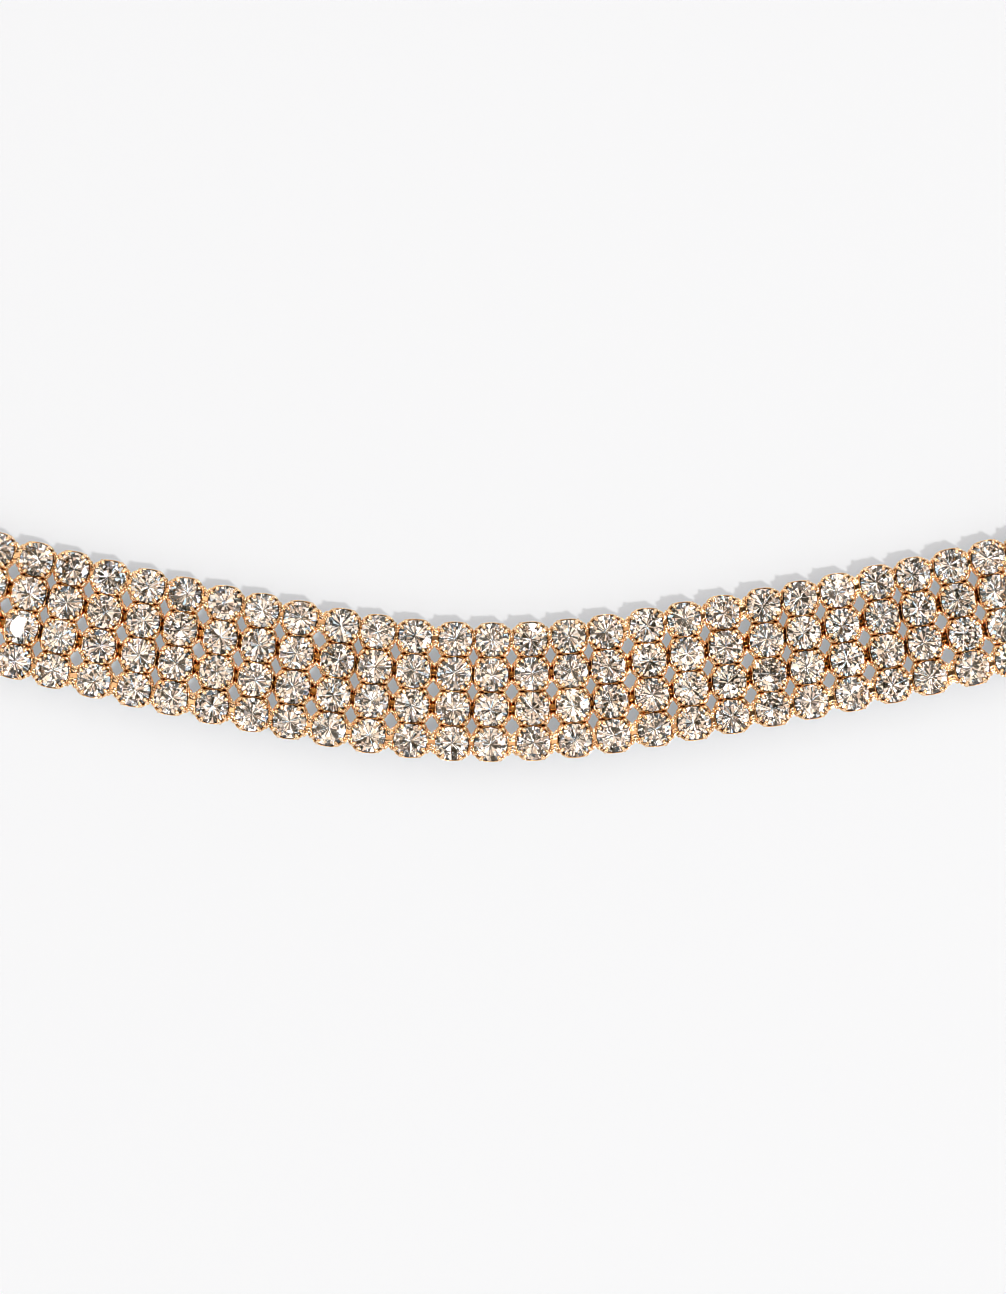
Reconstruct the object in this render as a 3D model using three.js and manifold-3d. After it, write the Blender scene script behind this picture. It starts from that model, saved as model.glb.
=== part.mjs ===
// A choker necklace of cup chain: four rows of round crystals in claw cups, laid flat as a closed
// loop with the crystals up. The four cups of a column are soldered into one rigid bar, and small
// links in the rows join a bar to the next, so that the band bends only between its bars. A plain
// clasp closes it at the back.
// Millimetres, +Z up. The origin is at the middle of the loop, on the surface that it lies on, and
// the front of the necklace is at -Y.
import * as THREE from "three";
import { ConvexGeometry } from "three/addons/geometries/ConvexGeometry.js";
import { mergeVertices } from "three/addons/utils/BufferGeometryUtils.js";
import Module from "manifold-3d";

const wasm = await Module();
wasm.setup();

// Band: a column of four cups is one soldered bar.
const ROWS = 4;
const ROW_PITCH = 3.3; // a cup's outside diameter, because the cups of a bar touch
const COLUMNS = 102;
const COLUMN_PITCH = 3.77; // along the middle of the band, with the link between two cups
const BEND_PITCH = 3.87; // in the side bends, where the inner row closes up and the links are drawn out
const COLUMNS_PER_STRETCH = 3;
const MIDDLE_GAP_SHIFT = -0.8; // from the lowest point of the front to the middle gap of the band

// Cup and crystal
const CUP_HALF_WIDTH = 1.55; // along the band, at the middle of a cup
const WAIST_HALF_WIDTH = 1.4; // along the band, where two cups are soldered together
const RIM_HEIGHT = 1.75; // the crystal's girdle sits at the cup's rim
const TABLE_HEIGHT = 2.25;
const TABLE_HALF_WIDTH = 0.72;

// Link between two cups of a row: three-sided, with its flat side down
const LINK_WIDTH = 1.2;
const LINK_HEIGHT = 0.8;
const LINKED_ROWS = [1, 2]; // the two middle rows hold a stretch together

// Clasp: a flat plate as wide as the band at its ends and narrower in the middle
const CLASP_GAP = 0.3;
const CLASP_HEIGHT = 2.2;
const CLASP_END_LENGTH = 3;
const CLASP_TAPER_LENGTH = 4;
const CLASP_MIDDLE_WIDTH = 9;
const CLASP_BEVEL = 0.4;

// The route of the band's middle line, from the middle of the front to the right side and on to the
// back. The left half mirrors it. What is left of the loop behind the side bends is straight.
const ROUTE = [
  { stretch: "front bow", radius: 80, turnDegrees: 9.5 },
  { stretch: "flank", radius: 463, turnDegrees: 4.8 },
  { stretch: "side bend", radius: 38, turnDegrees: 165.7 },
];

// The links leave the bars a little play along the front, and there the bars fan out less than the
// route turns: the lag is largest halfway out and none at the middle and the end.
const PLAY_REACH = 50; // distance from the middle of the front
const FAN_LAG = THREE.MathUtils.degToRad(5);
const PLAY_SHIFT = 0.09;
const PLAY_SHIFT_STEP = 2.3; // radians of the sway from one column to the next
const PLAY_TURN = THREE.MathUtils.degToRad(0.7);
const PLAY_TURN_STEP = 1.7;

const BAND_WIDTH = ROWS * ROW_PITCH;

const crystalInGold = new THREE.MeshStandardMaterial({ color: 0xe9d6c2, roughness: 0.15, metalness: 0.5 });
const roseGold = new THREE.MeshStandardMaterial({ color: 0xe3a972, roughness: 0.22, metalness: 1.0 });

const arcLength = ({ radius, turnDegrees }) => radius * THREE.MathUtils.degToRad(turnDegrees);

// Where a point of the right half's middle line lies, at a distance along it from the middle of the front.
function alongRightHalf(distance) {
  let x = 0;
  let y = 0;
  let heading = 0;
  let left = distance;
  for (const arc of ROUTE) {
    const length = Math.min(left, arcLength(arc));
    const next = heading + length / arc.radius;
    x += arc.radius * (Math.sin(next) - Math.sin(heading));
    y += arc.radius * (Math.cos(heading) - Math.cos(next));
    heading = next;
    left -= length;
  }
  return { x: x + left * Math.cos(heading), y: y + left * Math.sin(heading), heading };
}

// The same for the whole loop. A distance below 0 is on the left half.
function alongLoop(distance) {
  const { x, y, heading } = alongRightHalf(Math.abs(distance));
  return distance < 0 ? { x: -x, y, heading: -heading } : { x, y, heading };
}

const routeLength = ROUTE.reduce((sum, arc) => sum + arcLength(arc), 0);
const bendStart = routeLength - arcLength(ROUTE.at(-1));
const routeEnd = alongRightHalf(routeLength);
const halfLoop = routeLength + routeEnd.x; // the straight back runs in to the middle
const loopDepth = routeEnd.y; // from the front's middle line to the back's

// A frame on the route: x along the band, y towards the inside of the loop, z up.
function frameAt(distance, extraTurn = 0) {
  const { x, y, heading } = alongLoop(distance);
  return new THREE.Matrix4().makeRotationZ(heading + extraTurn).setPosition(x, y - loopDepth / 2, 0);
}

// Distances along the route of the right half's columns from the middle gap, without the play.
function evenDistances() {
  const distances = [COLUMN_PITCH / 2];
  while (distances.length < COLUMNS / 2) {
    const last = distances.at(-1);
    distances.push(last + (last > bendStart && last < routeLength ? BEND_PITCH : COLUMN_PITCH));
  }
  return distances;
}

const rightDistances = evenDistances();
const bandHalf = rightDistances.at(-1) + CUP_HALF_WIDTH;

// Columns are numbered from the left end of the band to its right end.
function columnFrame(column) {
  const fromMiddle = column - COLUMNS / 2;
  const even = fromMiddle < 0 ? -rightDistances[-1 - fromMiddle] : rightDistances[fromMiddle];
  const distance = even + MIDDLE_GAP_SHIFT;
  if (Math.abs(distance) > PLAY_REACH) return frameAt(distance);
  const shift = PLAY_SHIFT * Math.sin(PLAY_SHIFT_STEP * column);
  const lag = FAN_LAG * Math.sin((Math.PI * distance) / PLAY_REACH);
  return frameAt(distance + shift, PLAY_TURN * Math.sin(PLAY_TURN_STEP * column) - lag);
}

const rowOffset = (row) => ((ROWS - 1) / 2 - row) * ROW_PITCH; // row 0 is the inner one

// A closed three.js geometry as a manifold-3d solid.
function solidOf(geometry) {
  const positions = new THREE.BufferGeometry().setAttribute("position", geometry.getAttribute("position"));
  const merged = mergeVertices(positions.setIndex(geometry.index), 1e-4);
  return new wasm.Manifold(
    new wasm.Mesh({
      numProp: 3,
      vertProperties: merged.attributes.position.array,
      triVerts: new Uint32Array(merged.index.array),
    }),
  );
}

// A solid back as a three.js geometry, with the triangles of each flat face joined.
function geometryOf(solid) {
  const { vertProperties, triVerts } = solid.asOriginal().simplify().getMesh();
  const geometry = new THREE.BufferGeometry()
    .setAttribute("position", new THREE.BufferAttribute(vertProperties, 3))
    .setIndex(new THREE.BufferAttribute(triVerts, 1));
  geometry.computeVertexNormals();
  return geometry;
}

// Outline of a bar: a waist between two cups and a point at the middle of each cup, down its right
// side and up its left.
function barOutline() {
  const right = [new THREE.Vector2(WAIST_HALF_WIDTH, BAND_WIDTH / 2)];
  for (let row = 0; row < ROWS; row++) {
    right.push(new THREE.Vector2(CUP_HALF_WIDTH, rowOffset(row)));
    right.push(new THREE.Vector2(WAIST_HALF_WIDTH, rowOffset(row) - ROW_PITCH / 2));
  }
  const left = right.map((point) => new THREE.Vector2(-point.x, point.y)).reverse();
  return new THREE.Shape([...right, ...left]);
}

// The part of a crystal above the rim, cut to a square table.
function crownSolid(row) {
  const y = rowOffset(row);
  const points = [-1, 1].flatMap((side) => [
    new THREE.Vector3(side * CUP_HALF_WIDTH, y, RIM_HEIGHT),
    ...[-1, 1].flatMap((end) => [
      new THREE.Vector3(side * WAIST_HALF_WIDTH, y + (end * ROW_PITCH) / 2, RIM_HEIGHT),
      new THREE.Vector3(side * TABLE_HALF_WIDTH, y + end * TABLE_HALF_WIDTH, TABLE_HEIGHT),
    ]),
  ]);
  return solidOf(new ConvexGeometry(points));
}

// One soldered bar of cups with its crystals.
function barSolid() {
  let solid = solidOf(new THREE.ExtrudeGeometry(barOutline(), { depth: RIM_HEIGHT, bevelEnabled: false }));
  for (let row = 0; row < ROWS; row++) solid = solid.add(crownSolid(row));
  return solid;
}

// A link from the middle of a cup to the same row's cup in the next column.
function linkSolid(row, fromFrame, toFrame) {
  const from = new THREE.Vector3(0, rowOffset(row), 0).applyMatrix4(fromFrame);
  const to = new THREE.Vector3(0, rowOffset(row), 0).applyMatrix4(toFrame);
  const section = new THREE.Shape([
    new THREE.Vector2(-LINK_WIDTH / 2, 0),
    new THREE.Vector2(LINK_WIDTH / 2, 0),
    new THREE.Vector2(0, LINK_HEIGHT),
  ]);
  const link = new THREE.ExtrudeGeometry(section, { depth: from.distanceTo(to), bevelEnabled: false });
  const along = to.clone().sub(from).normalize();
  const up = new THREE.Vector3(0, 0, 1);
  link.applyMatrix4(new THREE.Matrix4().makeBasis(up.clone().cross(along), up, along).setPosition(from));
  return solidOf(link);
}

// Some neighbouring bars with the links that join them, in the frame of the middle one.
function stretchMesh(stretch, bar) {
  const columns = Array.from({ length: COLUMNS_PER_STRETCH }, (_, i) => stretch * COLUMNS_PER_STRETCH + i);
  const home = columnFrame(columns[(COLUMNS_PER_STRETCH - 1) / 2]);
  const toHome = home.clone().invert();
  const frames = columns.map((column) => toHome.clone().multiply(columnFrame(column)));
  let solid = frames.map((frame) => bar.transform(frame.toArray())).reduce((a, b) => a.add(b));
  for (let i = 0; i + 1 < frames.length; i++)
    for (const row of LINKED_ROWS) solid = solid.add(linkSolid(row, frames[i], frames[i + 1]));
  const mesh = new THREE.Mesh(geometryOf(solid), crystalInGold);
  mesh.name = "band_stretch_" + String(stretch + 1).padStart(2, "0");
  mesh.applyMatrix4(home);
  return mesh;
}

// The clasp fills what the band leaves of the loop, and lies in the frame of its own middle.
function claspMesh() {
  const half = halfLoop - bandHalf - CLASP_GAP - CLASP_BEVEL;
  const wide = BAND_WIDTH / 2 - CLASP_BEVEL;
  const narrow = CLASP_MIDDLE_WIDTH / 2 - CLASP_BEVEL;
  const taperStart = half - CLASP_END_LENGTH;
  const corner = [
    new THREE.Vector2(half, wide),
    new THREE.Vector2(taperStart, wide),
    new THREE.Vector2(taperStart - CLASP_TAPER_LENGTH, narrow),
  ];
  const upper = [...corner, ...corner.map((p) => new THREE.Vector2(-p.x, p.y)).reverse()];
  const lower = upper.map((p) => new THREE.Vector2(p.x, -p.y)).reverse();
  const plate = new THREE.ExtrudeGeometry(new THREE.Shape([...upper, ...lower]), {
    depth: CLASP_HEIGHT - 2 * CLASP_BEVEL,
    bevelSegments: 1,
    bevelSize: CLASP_BEVEL,
    bevelThickness: CLASP_BEVEL,
  });
  plate.translate(0, 0, CLASP_BEVEL);
  const mesh = new THREE.Mesh(plate, roseGold);
  mesh.name = "clasp";
  mesh.applyMatrix4(frameAt(halfLoop + MIDDLE_GAP_SHIFT));
  return mesh;
}

const necklace = new THREE.Group();
const bar = barSolid();
for (let stretch = 0; stretch < COLUMNS / COLUMNS_PER_STRETCH; stretch++) necklace.add(stretchMesh(stretch, bar));
necklace.add(claspMesh());

export default necklace;
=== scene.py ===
"""A four-row crystal cup-chain choker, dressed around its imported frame.

Each stretch of the band gets two pieces: its metal (cups, claws, solder and links) and its
crystals (a cut glass crown over a foiled pavilion). These shapes are in millimetres until
Shape.to_object. The floor, the lamps and the camera are in metres.
"""
import math
import random

import bpy
import numpy as np
from mathutils import Matrix, Vector


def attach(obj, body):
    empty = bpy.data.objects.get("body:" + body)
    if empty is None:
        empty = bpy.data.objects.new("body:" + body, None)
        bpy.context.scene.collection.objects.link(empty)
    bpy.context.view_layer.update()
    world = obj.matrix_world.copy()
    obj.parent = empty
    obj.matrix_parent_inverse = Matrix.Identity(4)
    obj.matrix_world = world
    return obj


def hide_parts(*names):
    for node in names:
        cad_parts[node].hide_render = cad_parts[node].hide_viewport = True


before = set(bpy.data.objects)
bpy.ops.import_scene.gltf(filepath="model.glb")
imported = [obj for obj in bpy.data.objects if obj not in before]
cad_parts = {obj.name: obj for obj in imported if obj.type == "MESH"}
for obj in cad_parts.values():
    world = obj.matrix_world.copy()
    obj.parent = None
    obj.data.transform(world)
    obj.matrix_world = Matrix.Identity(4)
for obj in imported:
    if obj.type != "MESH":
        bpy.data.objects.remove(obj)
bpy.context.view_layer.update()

MM = 0.001

# The band, with the same driving sizes as its frame (mm)
ROWS = 4
ROW_PITCH = 3.3
COLUMNS = 102
COLUMN_PITCH = 3.77
BEND_PITCH = 3.87
COLUMNS_PER_STRETCH = 3
MIDDLE_GAP_SHIFT = -0.8  # of the gap between the two middle columns, along the band
ROUTE = [  # radius, degrees: half of the front bow, a flank and a side bend
    (80, 9.5),
    (463, 4.8),
    (38, 165.7),
]

# Play of the bars in their links, within a reach from the front's middle. The steps are the angles
# from one column to the next in the waves of shift and turn.
PLAY_REACH = 50
FAN_LAG = math.radians(5)  # by which the bars fan out less than the curve, at the most
PLAY_SHIFT = 0.09
PLAY_SHIFT_STEP = 2.3
PLAY_TURN = math.radians(0.7)
PLAY_TURN_STEP = 1.7

# Crystal (heights are above the surface that the necklace lies on)
GIRDLE_RADIUS = 1.59
GIRDLE_TOP = 1.84
GIRDLE_BOTTOM = 1.80
TABLE_RADIUS = 1.05
TABLE_HEIGHT = 2.20
STAR_RADIUS = 1.26
PAVILION_ANGLE = math.radians(43.4)
PAVILION_VARIATION = math.radians(0.8)
MEET_RADIUS = 0.20  # where two mains and two halves meet, near the culet
MEET_RANGE = (0.8, 1.2)  # times MEET_RADIUS
WAVE_RANGE = (0.5, 1.0)  # of the dips that a perfect cut has along the lower girdle
CUT_VARIATION = 0.018
CRYSTAL_VARIANTS = 12
CRYSTAL_TILT = math.radians(4)

# Cup: the wall from its foot, over the lip, to the seat. A ring is a rounded square, whose squareness
# is 2 for a circle, and dip is how much it takes of the lip's dip between the claws.
CUP_SEGMENTS = 32
CUP_PROFILE = [  # half width, height, squareness, dip
    (1.12, 0.00, 2.0, 0.0),
    (1.42, 0.10, 2.4, 0.0),
    (1.60, 0.42, 4.2, 0.0),
    (1.67, 0.90, 5.6, 0.2),
    (1.69, 1.25, 5.4, 0.6),
    (1.69, 1.48, 5.0, 1.0),
    (1.675, 1.61, 3.8, 1.0),
    (1.64, 1.66, 2.6, 1.0),
    (1.59, 1.56, 2.0, 0.6),
]
CUP_SEAT_HEIGHT = 0.12
LIP_DIP = 0.07
OUTER_SQUARENESS = 3.1  # at the most, on the side of the outer rows' cups that faces away from the band
CUP_VARIANTS = 8

# Claws: four pairs of prongs, folded over the girdle
PRONG_SIDES = 8
PRONG_SPREAD = math.radians(12)  # from the middle of its pair
PRONG_SPREAD_VARIATION = 0.03  # radians
PRONG_FOLD_RANGE = (-0.04, 0.05)  # by which its tip leans in
PRONG_FATNESS_RANGE = (0.9, 1.1)  # times its thickness
PRONG_PATH = [  # distance from the cup's axis, height, thickness
    (1.70, 0.90, 0.12),
    (1.74, 1.35, 0.16),
    (1.75, 1.65, 0.17),
    (1.70, 1.87, 0.19),
    (1.59, 2.00, 0.205),
    (1.47, 2.05, 0.20),
    (1.36, 2.04, 0.16),
    (1.30, 2.01, 0.09),
]

# Solder between two cups of a bar, and links between two bars
SOLDER_PATH = [  # distance across the joint, half thickness
    (-1.40, 0.05),
    (-1.35, 0.14),
    (-1.22, 0.22),
    (-1.00, 0.16),
    (1.00, 0.16),
    (1.22, 0.22),
    (1.35, 0.14),
    (1.40, 0.05),
]
SOLDER_MIDDLE = 0.80
SOLDER_FLATTENING = 2.8
LINK_WIDTH = 1.7
LINK_HEIGHT = 0.2
LINK_FLARE = 0.3
LINK_START = 1.45  # from a cup's axis, inside its wall
LINK_STATIONS = [-1, -0.5, -0.25, 0, 0.25, 0.5, 1]  # of half its length
LINK_STEPS = 6
LINK_TOPS = [1.45, 1.05, 1.05, 1.45]  # a row each
LINK_TROUGHS = [0.10, 0.70, 0.70, 0.10]  # a row each
TROUGH_EDGE = 0.62  # of half the link's width
TROUGH_SLOPE = 0.3
LINK_ROUNDING = 0.06  # at the long edges
LINK_ROUNDING_POWER = 8

# Clasp: a closed plate whose ends are as wide as the band
CUP_HALF_WIDTH = 1.55  # of the frame's plain cups, along the band
CLASP_GAP = 0.3  # from those cups
CLASP_HEIGHT = 2.2
CLASP_END_LENGTH = 3.4
CLASP_TAPER_LENGTH = 4
CLASP_MIDDLE_WIDTH = 9
CLASP_ROUNDING = 0.4
CLASP_CORNER = 0.9
CLASP_STEPS = 5

rng = random.Random(11)


# ---------------------------------------------------------------- route of the band


def arc_length(radius, degrees):
    return radius * math.radians(degrees)


ROUTE_LENGTH = sum(arc_length(*arc) for arc in ROUTE)
BEND_START = ROUTE_LENGTH - arc_length(*ROUTE[-1])


def along_right_half(distance):
    """A point of the right half's middle line, and the heading there."""
    x = y = heading = 0.0
    left = distance
    for radius, degrees in ROUTE:
        length = min(left, arc_length(radius, degrees))
        turned = heading + length / radius
        x += radius * (math.sin(turned) - math.sin(heading))
        y += radius * (math.cos(heading) - math.cos(turned))
        heading = turned
        left -= length
    return x + left * math.cos(heading), y + left * math.sin(heading), heading


LOOP_DEPTH = along_right_half(ROUTE_LENGTH)[1]
HALF_LOOP = ROUTE_LENGTH + along_right_half(ROUTE_LENGTH)[0]


def frame_at(distance, extra_turn=0.0):
    """A frame on the route: x along the band, y towards the inside of the loop, z up."""
    x, y, heading = along_right_half(abs(distance))
    if distance < 0:
        x, heading = -x, -heading
    return Matrix.Translation((x, y - LOOP_DEPTH / 2, 0)) @ Matrix.Rotation(heading + extra_turn, 4, "Z")


def even_distances():
    distances = [COLUMN_PITCH / 2]
    while len(distances) < COLUMNS // 2:
        last = distances[-1]
        distances.append(last + (BEND_PITCH if BEND_START < last < ROUTE_LENGTH else COLUMN_PITCH))
    return distances


RIGHT_DISTANCES = even_distances()


def column_frame(column):
    from_middle = column - COLUMNS // 2
    even = -RIGHT_DISTANCES[-1 - from_middle] if from_middle < 0 else RIGHT_DISTANCES[from_middle]
    distance = even + MIDDLE_GAP_SHIFT
    if abs(distance) > PLAY_REACH:
        return frame_at(distance)
    shift = PLAY_SHIFT * math.sin(PLAY_SHIFT_STEP * column)
    lag = FAN_LAG * math.sin(math.pi * distance / PLAY_REACH)
    return frame_at(distance + shift, PLAY_TURN * math.sin(PLAY_TURN_STEP * column) - lag)


def row_offset(row):
    return ((ROWS - 1) / 2 - row) * ROW_PITCH


# ---------------------------------------------------------------- shapes as arrays


class Shape:
    """Vertices and faces that grow by moved copies of other shapes."""

    def __init__(self, vertices=(), faces=(), slots=None):
        self.vertices = [np.array(vertices, float).reshape(-1, 3)]
        self.faces = [tuple(face) for face in faces]
        self.slots = list(slots) if slots is not None else [0] * len(self.faces)
        self.count = len(self.vertices[0])

    def add(self, other, matrix=None):
        points = np.concatenate(other.vertices)
        if matrix is not None:
            m = np.array(matrix)
            points = points @ m[:3, :3].T + m[:3, 3]
        self.faces += [tuple(v + self.count for v in face) for face in other.faces]
        self.slots += other.slots
        self.vertices.append(points)
        self.count += len(points)
        return self

    def to_object(self, name, materials, smooth):
        mesh = bpy.data.meshes.new(name)
        points = np.concatenate(self.vertices) * MM
        mesh.from_pydata(points.tolist(), [], self.faces)
        for material in materials:
            mesh.materials.append(material)
        mesh.polygons.foreach_set("material_index", self.slots)
        mesh.polygons.foreach_set("use_smooth", [smooth] * len(self.faces))
        mesh.update()
        obj = bpy.data.objects.new(name, mesh)
        bpy.context.scene.collection.objects.link(obj)
        return obj


def on_circle(radius, angle, height):
    return (radius * math.cos(angle), radius * math.sin(angle), height)


def brilliant():
    """A round crystal: table, stars, kites and upper halves in glass, and foiled facets below."""
    eighth = math.tau / 8
    fall = (TABLE_HEIGHT - GIRDLE_TOP) / (GIRDLE_RADIUS - TABLE_RADIUS)
    star_height = TABLE_HEIGHT - (STAR_RADIUS * math.cos(eighth / 2) - TABLE_RADIUS) * fall
    vertices = [on_circle(TABLE_RADIUS, k * eighth, TABLE_HEIGHT) for k in range(8)]
    vertices += [on_circle(STAR_RADIUS, (k + 0.5) * eighth, star_height) for k in range(8)]
    vertices += [on_circle(GIRDLE_RADIUS, j * eighth / 2, GIRDLE_TOP) for j in range(16)]
    table, star, upper, lower, meet, culet = 0, 8, 16, 32, 48, 56  # the first vertex of each ring
    glass = [tuple(range(8))]
    foil = []
    for k in range(8):
        after = (k + 1) % 8
        before = (k - 1) % 8
        glass.append((table + k, star + k, table + after))
        glass.append((table + k, star + before, upper + 2 * k, star + k))
        glass.append((star + k, upper + 2 * k, upper + 2 * k + 1))
        glass.append((star + k, upper + 2 * k + 1, upper + 2 * after))

    # Below the girdle: eight narrow mains from the culet, and pairs of halves between them. Each
    # corner is cut a little out of its true height, as on machine-cut crystals.
    depth = GIRDLE_RADIUS * math.tan(PAVILION_ANGLE + rng.uniform(-1, 1) * PAVILION_VARIATION)
    meet_height = GIRDLE_BOTTOM - depth * (1 - MEET_RADIUS * math.cos(eighth / 2) / GIRDLE_RADIUS)
    wave = rng.uniform(*WAVE_RANGE) * depth * (1 - math.cos(eighth / 2))
    for j in range(16):
        drop = wave * (j % 2) + abs(rng.gauss(0, CUT_VARIATION))
        vertices.append(on_circle(GIRDLE_RADIUS, j * eighth / 2, GIRDLE_BOTTOM - drop))
    for k in range(8):
        radius = MEET_RADIUS * rng.uniform(*MEET_RANGE)
        vertices.append(on_circle(radius, (k + 0.5) * eighth, meet_height + rng.gauss(0, CUT_VARIATION) / 2))
    vertices.append((rng.gauss(0, CUT_VARIATION), rng.gauss(0, CUT_VARIATION), GIRDLE_BOTTOM - depth))
    for j in range(16):
        after = (j + 1) % 16
        own_meet = meet + j // 2
        foil.append((upper + j, lower + j, lower + after, upper + after))
        foil.append((lower + after, lower + j, own_meet))
        main_corner = lower + (j if j % 2 == 0 else after)
        foil.append((own_meet, main_corner, culet) if j % 2 == 0 else (main_corner, own_meet, culet))
    return Shape(vertices, glass + foil, [0] * len(glass) + [1] * len(foil))


def cup_wall(outer):
    """The cup: foot, wall, a lip that dips between the claws, and a conical seat.

    The +Y half of an outer row's cup is rounder.
    """
    vertices, faces = [], []
    n = CUP_SEGMENTS
    for half_width, height, squareness, dip in CUP_PROFILE:
        for i in range(n):
            angle = i * math.tau / n
            power = min(squareness, OUTER_SQUARENESS) if outer and 0 < i < n / 2 else squareness
            sides = abs(math.cos(angle)) ** power + abs(math.sin(angle)) ** power
            drop = dip * LIP_DIP * (1 + math.cos(4 * angle)) / 2
            vertices.append(on_circle(half_width * sides ** (-1 / power), angle, height - drop))
    foot, seat = len(vertices), len(vertices) + 1
    vertices += [(0, 0, 0), (0, 0, CUP_SEAT_HEIGHT)]
    for ring in range(len(CUP_PROFILE) - 1):
        for i in range(n):
            j = (i + 1) % n
            faces.append((ring * n + i, ring * n + j, (ring + 1) * n + j, (ring + 1) * n + i))
    last = (len(CUP_PROFILE) - 1) * n
    for i in range(n):
        j = (i + 1) % n
        faces.append((foot, j, i))
        faces.append((seat, last + i, last + j))
    return Shape(vertices, faces)


def tube(points, radii, sides, flatten=1.0):
    """A closed round tube along a path in the XZ plane. flatten scales it across the path."""
    vertices, faces = [], []
    for i, (x, z) in enumerate(points):
        x0, z0 = points[max(i - 1, 0)]
        x1, z1 = points[min(i + 1, len(points) - 1)]
        length = math.hypot(x1 - x0, z1 - z0)
        across = Vector((-(z1 - z0) / length, 0, (x1 - x0) / length))
        for s in range(sides):
            angle = s * math.tau / sides
            offset = across * math.cos(angle) * radii[i] * flatten
            offset += Vector((0, math.sin(angle) * radii[i], 0))
            vertices.append((x + offset.x, offset.y, z + offset.z))
    for i in range(len(points) - 1):
        for s in range(sides):
            t = (s + 1) % sides
            faces.append((i * sides + s, (i + 1) * sides + s, (i + 1) * sides + t, i * sides + t))
    last = (len(points) - 1) * sides
    faces.append(tuple(range(sides)))
    faces.append(tuple(last + s for s in reversed(range(sides))))
    return Shape(vertices, faces)


def prong():
    """One prong, in the XZ plane, with small differences of bend and thickness."""
    fold = rng.uniform(*PRONG_FOLD_RANGE)
    fat = rng.uniform(*PRONG_FATNESS_RANGE)
    points = [(r - fold * i / len(PRONG_PATH), z) for i, (r, z, _) in enumerate(PRONG_PATH)]
    return tube(points, [t * fat for _, _, t in PRONG_PATH], PRONG_SIDES)


def cup_with_claws(outer=False):
    """A cup with a pair of prongs at each of its corners."""
    shape = cup_wall(outer)
    for quarter in range(4):
        for side in (-1, 1):
            angle = (quarter + 0.5) * math.tau / 4 + side * PRONG_SPREAD
            angle += rng.uniform(-PRONG_SPREAD_VARIATION, PRONG_SPREAD_VARIATION)
            shape.add(prong(), Matrix.Rotation(angle, 4, "Z"))
    return shape


def smooth_step(value):
    t = min(max(value, 0), 1)
    return t * t * (3 - 2 * t)


def link_plate(half_length, trough):
    """A pressed plate along X: it flares towards both ends, and sinks by the trough along its middle."""
    vertices, faces = [], []
    across = [step / LINK_STEPS - 1 for step in range(2 * LINK_STEPS + 1)]
    for side in (0, 1):
        for u in LINK_STATIONS:
            reach = LINK_WIDTH / 2 + LINK_FLARE * smooth_step(abs(u) / 0.5)
            for v in across:
                sunk = trough * smooth_step((TROUGH_EDGE - abs(v)) / TROUGH_SLOPE)
                rounding = LINK_ROUNDING * abs(v) ** LINK_ROUNDING_POWER * (1 - 2 * side)
                vertices.append((u * half_length, v * reach, -sunk - side * LINK_HEIGHT - rounding))
    n, m = len(LINK_STATIONS), len(across)
    for i in range(n - 1):
        for j in range(m - 1):
            top = [i * m + j, (i + 1) * m + j, (i + 1) * m + j + 1, i * m + j + 1]
            faces.append(tuple(top))
            faces.append(tuple(v + n * m for v in reversed(top)))
    border = [(0, j) for j in range(m - 1)] + [(i, m - 1) for i in range(n - 1)]
    border += [(n - 1, j) for j in range(m - 1, 0, -1)] + [(i, 0) for i in range(n - 1, 0, -1)]
    ring = [i * m + j for i, j in border]
    for k, v in enumerate(ring):
        w = ring[(k + 1) % len(ring)]
        faces.append((v, w, w + n * m, v + n * m))
    return Shape(vertices, faces)


def link(from_cup, to_cup, row):
    """A link between the walls of two cups, whose middles are given."""
    step = to_cup - from_cup
    place = Matrix.Translation((from_cup + to_cup) / 2 + Vector((0, 0, LINK_TOPS[row])))
    turn = Matrix.Rotation(math.atan2(step.y, step.x), 4, "Z")
    return Shape().add(link_plate(step.length / 2 - LINK_START, LINK_TROUGHS[row]), place @ turn)


# ---------------------------------------------------------------- materials

# The plate's colour by openness: the top stop is its own colour, and the darker stops are painted shade.
PLATE_COLOUR_AND_PAINTED_SHADE = [  # openness, colour
    (0.12, (0.24, 0.115, 0.045, 1)),
    (0.40, (0.62, 0.33, 0.115, 1)),
    (0.74, (0.98, 0.73, 0.47, 1)),
]


def wire(tree, node, inputs):
    """Sets some of a node's inputs, each to a value or to another node's output."""
    for name, given in inputs.items():
        if isinstance(given, bpy.types.NodeSocket):
            tree.links.new(given, node.inputs[name])
        else:
            node.inputs[name].default_value = given
    return node


def add_node(tree, kind, inputs):
    return wire(tree, tree.nodes.new("ShaderNode" + kind), inputs)


def add_math(tree, operation, first, second):
    node = add_node(tree, "Math", {0: first, 1: second})
    node.operation = operation
    return node.outputs["Value"]


def add_openness(tree, distance, samples):
    """How open a place is: 1 in the open, and near 0 in a crevice narrower than the distance."""
    node = add_node(tree, "AmbientOcclusion", {"Distance": distance})
    node.samples = samples
    return node.outputs["AO"]


def add_ramp(tree, factor, stops):
    """A colour ramp through stops of a position and a colour."""
    node = add_node(tree, "ValToRGB", {"Fac": factor})
    ends = node.color_ramp.elements
    (ends[0].position, ends[0].color), (ends[1].position, ends[1].color) = stops[0], stops[-1]
    for position, color in stops[1:-1]:
        ends.new(position).color = color
    return node.outputs["Color"]


def new_material(name, inputs):
    """A material with some of its shader's inputs set, its node tree and its shader."""
    material = bpy.data.materials.new(name)
    material.use_nodes = True
    tree = material.node_tree
    return material, tree, wire(tree, tree.nodes["Principled BSDF"], inputs)


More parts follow.
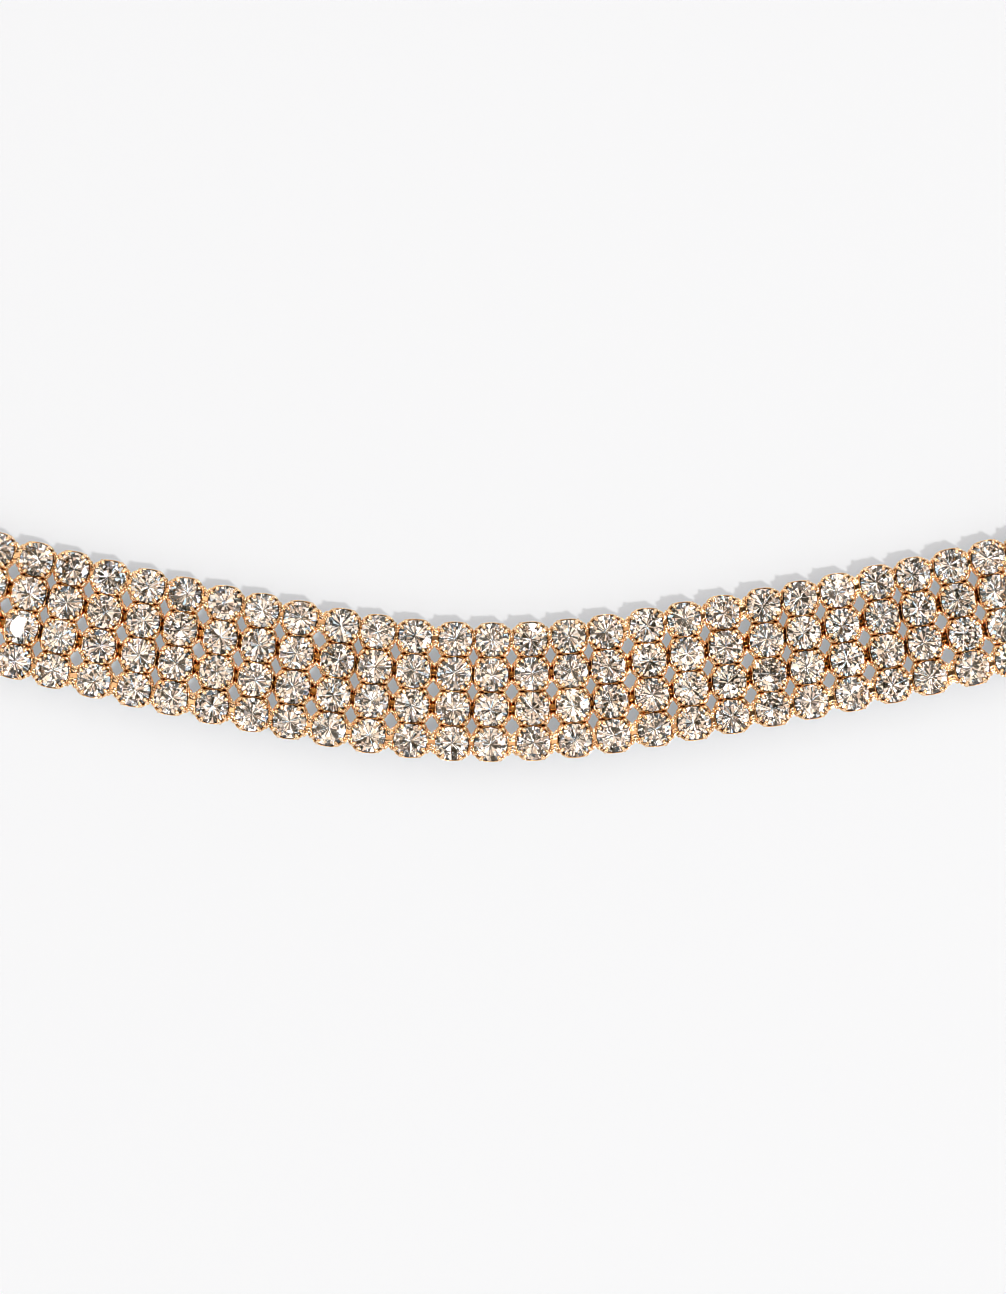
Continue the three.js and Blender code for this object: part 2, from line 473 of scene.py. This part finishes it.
def rose_gold():
    """Polished plate with a soft orange-peel and duller patches.

    Painted shade darkens its colour to brown in crevices, low down between the cups, and where a claw turns
    its side to the viewer.
    """
    material, tree, shader = new_material("rose_gold", {"Metallic": 1.0})
    place = add_node(tree, "TexCoord", {}).outputs["Object"]
    grain = add_node(tree, "TexNoise", {"Vector": place, "Scale": 1500, "Detail": 3}).outputs["Fac"]
    dull = add_node(tree, "MapRange", {"Value": grain, "To Min": 0.04, "To Max": 0.10})
    bump = add_node(tree, "Bump", {"Height": grain, "Strength": 0.015, "Distance": 0.05 * MM})

    # Painted shade: the colour darkens in crevices narrower than 0.4 mm, and lower down than 0.8 mm.
    height = add_node(tree, "SeparateXYZ", {"Vector": place}).outputs["Z"]
    rise_range = {"Value": height, "From Min": 0.3 * MM, "From Max": 0.8 * MM, "To Min": 0.3}
    rise = add_node(tree, "MapRange", rise_range).outputs["Result"]
    openness = add_math(tree, "MULTIPLY", add_openness(tree, 0.4 * MM, 4), rise)

    # Painted shade: the claws' colour darkens where their sides turn away from the viewer.
    facing = add_node(tree, "LayerWeight", {}).outputs["Facing"]
    turned_range = {"Value": facing, "From Min": 0.30, "From Max": 0.75, "To Max": 0.55}
    turned = add_node(tree, "MapRange", turned_range).outputs["Result"]
    claw_range = {"Value": height, "From Min": 1.66 * MM, "From Max": 1.76 * MM}
    on_claw = add_node(tree, "MapRange", claw_range).outputs["Result"]
    outline = add_math(tree, "MULTIPLY", turned, on_claw)

    plate_colour_with_painted_shade = add_ramp(tree, add_math(tree, "SUBTRACT", openness, outline), PLATE_COLOUR_AND_PAINTED_SHADE)
    wire(tree, shader, {
        "Base Color": plate_colour_with_painted_shade,
        "Roughness": dull.outputs["Result"],
        "Normal": bump.outputs["Normal"],
    })
    return material


def cut_glass():
    return new_material("crystal", {
        "Base Color": (0.98, 0.98, 0.99, 1),
        "Roughness": 0.0,
        "IOR": 1.58,
        "Transmission Weight": 1.0,
    })[0]


def foil():
    return new_material("foil", {"Base Color": (0.95, 0.94, 0.93, 1), "Metallic": 1.0, "Roughness": 0.04})[0]


def pale_floor():
    """White card. Its glow is painted fill light, standing in for the studio's, and it fades to painted shade
    in the band's gaps.
    """
    material, tree, shader = new_material("floor", {
        "Base Color": (0.52, 0.52, 0.52, 1),
        "Roughness": 0.7,
        "Specular IOR Level": 0.2,
        "Emission Color": (0.98, 1.005, 1.05, 1),
    })
    # Painted shade: the glow fades where the band encloses the floor.
    openness = add_openness(tree, 2 * MM, 6)
    glow = add_node(tree, "MapRange", {"Value": openness, "From Max": 0.42, "To Min": 0.30, "To Max": 0.423})
    wire(tree, shader, {"Emission Strength": glow.outputs["Result"]})
    return material


gold = rose_gold()
glass = cut_glass()
mirror = foil()

# ---------------------------------------------------------------- band

cups = [cup_with_claws() for _ in range(CUP_VARIANTS)]
outer_cups = [cup_with_claws(outer=True) for _ in range(CUP_VARIANTS)]
crystals_cut = [brilliant() for _ in range(CRYSTAL_VARIANTS)]
solder = tube([(x, 0) for x, _ in SOLDER_PATH], [r for _, r in SOLDER_PATH], PRONG_SIDES, SOLDER_FLATTENING)


def seated_crystal():
    """A crystal turned and tilted a little in its cup."""
    spin = Matrix.Rotation(rng.uniform(0, math.tau), 4, "Z")
    lean = Matrix.Rotation(rng.gauss(0, 1) * CRYSTAL_TILT, 4, "X")
    swing = Matrix.Rotation(rng.uniform(0, math.tau), 4, "Z")
    pivot = Matrix.Translation((0, 0, GIRDLE_TOP))
    return pivot @ swing @ lean @ spin @ pivot.inverted()


def add_bar(column, metal, crystals):
    """Adds a column's four cups, with their crystals and the solder between them."""
    at = column_frame(column)
    for row in range(ROWS):
        cup_at = at @ Matrix.Translation((0, row_offset(row), 0))
        if row in (0, ROWS - 1):
            metal.add(rng.choice(outer_cups), cup_at @ Matrix.Rotation(math.pi if row else 0, 4, "Z"))
        else:
            metal.add(rng.choice(cups), cup_at @ Matrix.Rotation(rng.randrange(4) * math.pi / 2, 4, "Z"))
        crystals.add(rng.choice(crystals_cut), cup_at @ seated_crystal())
        if row:
            metal.add(solder, cup_at @ Matrix.Translation((0, ROW_PITCH / 2, SOLDER_MIDDLE)))


def add_links_after(column, metal):
    """Adds the links from one column to the next."""
    for row in range(ROWS):
        middle = Vector((0, row_offset(row), 0))
        metal.add(link(column_frame(column) @ middle, column_frame(column + 1) @ middle, row))


for stretch in range(COLUMNS // COLUMNS_PER_STRETCH):
    metal, crystals = Shape(), Shape()
    first = stretch * COLUMNS_PER_STRETCH
    for column in range(first, first + COLUMNS_PER_STRETCH):
        add_bar(column, metal, crystals)
        if column + 1 < COLUMNS:
            add_links_after(column, metal)
    number = f"{stretch + 1:02d}"
    for name, shape, materials, slot, smooth in (
        ("settings_" + number, metal, [gold], "rose_gold", True),
        ("crystals_" + number, crystals, [glass, mirror], "crystal", False),
    ):
        piece = shape.to_object(name, materials, smooth)
        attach(piece, "root")
        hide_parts("band_stretch_" + number)

# ---------------------------------------------------------------- clasp

CLASP_HALF_LENGTH = HALF_LOOP - RIGHT_DISTANCES[-1] - CUP_HALF_WIDTH - CLASP_GAP


def clasp_outline(inset):
    """The clasp's outline with round corners, drawn in by a distance."""
    wide, narrow = ROWS * ROW_PITCH / 2, CLASP_MIDDLE_WIDTH / 2
    taper = CLASP_HALF_LENGTH - CLASP_END_LENGTH
    right = [(CLASP_HALF_LENGTH, wide), (taper, wide), (taper - CLASP_TAPER_LENGTH, narrow)]
    upper = right + [(-x, y) for x, y in reversed(right)]
    corners = [Vector(p) for p in upper + [(x, -y) for x, y in reversed(upper)]]
    points = []
    for i, corner in enumerate(corners):
        to_last = (corners[i - 1] - corner).normalized()
        to_next = (corners[(i + 1) % len(corners)] - corner).normalized()
        start, end = corner + to_last * CLASP_CORNER, corner + to_next * CLASP_CORNER
        for step in range(CLASP_STEPS + 1):
            t = step / CLASP_STEPS
            point = start * (1 - t) ** 2 + corner * 2 * t * (1 - t) + end * t**2
            heading = (to_next * t - to_last * (1 - t)).normalized()
            points.append(point + Vector((-heading.y, heading.x)) * inset)
    return points


def clasp_plate():
    """A plain plate with softly rounded edges, about its own middle."""
    bends = [step / CLASP_STEPS * math.pi / 2 for step in range(CLASP_STEPS + 1)]
    rings = [(1 - math.sin(bend), CLASP_ROUNDING * (1 - math.cos(bend))) for bend in bends]
    rings += [(1 - math.cos(bend), CLASP_HEIGHT - CLASP_ROUNDING * (1 - math.sin(bend))) for bend in bends]
    vertices, faces = [], []
    for inset, height in rings:
        outline = clasp_outline(inset * CLASP_ROUNDING)
        vertices += [(p.x, p.y, height) for p in outline]
    n = len(outline)
    for ring in range(len(rings) - 1):
        for i in range(n):
            j = (i + 1) % n
            faces.append((ring * n + i, ring * n + j, (ring + 1) * n + j, (ring + 1) * n + i))
    faces.append(tuple(reversed(range(n))))
    faces.append(tuple(range((len(rings) - 1) * n, len(rings) * n)))
    return Shape(vertices, faces)


# The clasp closes the loop at its back, and links from the end columns run into its plate
clasp_frame = frame_at(HALF_LOOP + MIDDLE_GAP_SHIFT)
clasp = Shape().add(clasp_plate(), clasp_frame)
for column, end in ((COLUMNS - 1, -1), (0, 1)):
    for row in range(ROWS):
        middle = Vector((0, row_offset(row), 0))
        plate_end = Vector((end * (CLASP_HALF_LENGTH - CLASP_CORNER + LINK_START), 0, 0))
        clasp.add(link(column_frame(column) @ middle, clasp_frame @ (middle + plate_end), row))
plate = clasp.to_object("clasp_plate", [gold], True)
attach(plate, "root")
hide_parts("clasp")

# ---------------------------------------------------------------- floor, lights and camera

FLOOR_SIZE = 4
MIDDLE_OF_VIEW = Vector((0, -0.038, 0))
SPARKLE_DISTANCE = 0.8
SPARKLE_SIZE = 0.06
SPARKLE_WATTS = 0.34
SPARKLES = [  # azimuth, elevation
    (-105, 44), (-70, 72), (-12, 62), (-8, 36), (52, 50),
    (80, 75), (118, 40), (160, 66), (175, 48), (-150, 38),
]

bpy.ops.mesh.primitive_plane_add(size=FLOOR_SIZE)
floor = bpy.context.object
floor.name = "floor"
floor.data.materials.append(pale_floor())


def softbox(name, azimuth, elevation, distance, size, watts):
    """A square lamp that faces the middle of the view. Azimuth 0 is +X and 90 is +Y, in degrees."""
    lamp = bpy.data.lights.new(name, "AREA")
    lamp.shape = "SQUARE"
    lamp.size = size
    lamp.energy = watts
    obj = bpy.data.objects.new(name, lamp)
    a, e = math.radians(azimuth), math.radians(elevation)
    obj.location = MIDDLE_OF_VIEW + distance * Vector(
        (math.cos(a) * math.cos(e), math.sin(a) * math.cos(e), math.sin(e))
    )
    obj.rotation_euler = (MIDDLE_OF_VIEW - obj.location).to_track_quat("-Z", "Y").to_euler()
    bpy.context.scene.collection.objects.link(obj)
    obj.visible_camera = False
    return obj


softbox("key", azimuth=-37, elevation=56, distance=5.0, size=0.46, watts=134.5)

# Small bright lamps for sparkle, which leave the floor alone
all_but_floor = bpy.data.collections.new("all_but_floor")
all_but_floor.objects.link(floor)
all_but_floor.collection_objects[0].light_linking.link_state = "EXCLUDE"
for number, (azimuth, elevation) in enumerate(SPARKLES):
    lamp = softbox(f"sparkle_{number + 1}", azimuth, elevation, SPARKLE_DISTANCE, SPARKLE_SIZE, SPARKLE_WATTS)
    lamp.light_linking.receiver_collection = all_but_floor

# The studio: bright diffusers with dark gaps between them, finer overhead, and a pale horizon
DARK = (0.018, 0.016, 0.012, 1)
SHADE = (0.104, 0.068, 0.038, 1)
VIOLET = (0.24, 0.27, 0.40, 1)
AMBER = (0.62, 0.42, 0.25, 1)
GREY = (0.500, 0.405, 0.315, 1)
WHITE = (0.79, 0.738, 0.665, 1)
BRIGHT = (1.25, 1.26, 1.32, 1)
HORIZON = (0.62, 0.62, 0.62, 1)
OVERHEAD_STOPS = [
    (0.45, DARK), (0.482, SHADE), (0.495, VIOLET), (0.505, AMBER),
    (0.520, GREY), (0.572, WHITE), (0.70, BRIGHT),
]
SIDE_STOPS = [(0.45, DARK), (0.49, SHADE), (0.525, GREY), (0.57, WHITE), (0.70, BRIGHT)]
TINT_STOPS = [(0.37, (0.66, 1.00, 1.34, 1)), (0.46, (0.96, 1.00, 1.04, 1)), (0.58, (1.14, 0.99, 0.83, 1))]
HORIZON_BLEND = (0.12, 0.30)  # sines of the elevations where the horizon turns into the side patches
OVERHEAD_BLEND = (0.80, 0.86)  # and where those turn into the overhead ones
STUDIO_STRENGTH = 1.28

world = bpy.data.worlds.new("studio")
bpy.context.scene.world = world
world.use_nodes = True
sky_tree = world.node_tree
direction = add_node(sky_tree, "TexCoord", {}).outputs["Generated"]
elevation_sine = add_node(sky_tree, "SeparateXYZ", {"Vector": direction}).outputs["Z"]


def sky_patches(scale, detail, stops):
    """Bright and dark patches, as a colour ramp over noise."""
    noise = add_node(sky_tree, "TexNoise", {"Vector": direction, "Scale": scale, "Detail": detail})
    return add_ramp(sky_tree, noise.outputs["Fac"], stops)


def mix_colors(kind, factor, first, second):
    node = add_node(sky_tree, "Mix", {})
    node.data_type = "RGBA"
    node.blend_type = kind
    return wire(sky_tree, node, {"Factor": factor, "A": first, "B": second}).outputs["Result"]


def blend_upwards(sines, below, above):
    """Blends from one colour to another between two elevations."""
    low, high = sines
    share = add_node(sky_tree, "MapRange", {"Value": elevation_sine, "From Min": low, "From Max": high})
    return mix_colors("MIX", share.outputs["Result"], below, above)


overhead = sky_patches(scale=5.0, detail=1.5, stops=OVERHEAD_STOPS)
around = sky_patches(scale=2.0, detail=1.0, stops=SIDE_STOPS)
sky = blend_upwards(HORIZON_BLEND, HORIZON, blend_upwards(OVERHEAD_BLEND, around, overhead))
sky = mix_colors("MULTIPLY", 1, sky, sky_patches(scale=3.5, detail=0.0, stops=TINT_STOPS))
wire(sky_tree, sky_tree.nodes["Background"], {"Color": sky, "Strength": STUDIO_STRENGTH})

# The camera looks straight down and, at the crystals' level, takes in as much as the photograph does
VIEW_WIDTH = 0.09553
VIEW_HEIGHT = VIEW_WIDTH * 1294 / 1006
VIEW_LEVEL = 0.002
VIEW_SHIFT = Vector((0.00205, 0.00431))  # from the middle of the loop's front
VIEW_ROLL = math.radians(0.746)
LENS_MM = 100
SENSOR_MM = 36
camera_data = bpy.data.cameras.new("camera")
camera = bpy.data.objects.new("camera", camera_data)
bpy.context.scene.collection.objects.link(camera)
bpy.context.scene.camera = camera
camera_data.lens = LENS_MM
camera_data.sensor_width = SENSOR_MM
camera_data.clip_start = 0.01
camera.location = (
    VIEW_SHIFT.x,
    VIEW_SHIFT.y - LOOP_DEPTH / 2 * MM,
    VIEW_LEVEL + VIEW_HEIGHT * LENS_MM / SENSOR_MM,
)
camera.rotation_euler = (0, 0, VIEW_ROLL)

scene = bpy.context.scene
scene.view_settings.view_transform = "Standard"
scene.cycles.filter_width = 0.6  # pixels: as crisp as the photograph
scene.cycles.glossy_bounces = 10
scene.cycles.transmission_bounces = 12
scene.cycles.max_bounces = 14
scene.cycles.caustics_reflective = False
scene.cycles.caustics_refractive = False
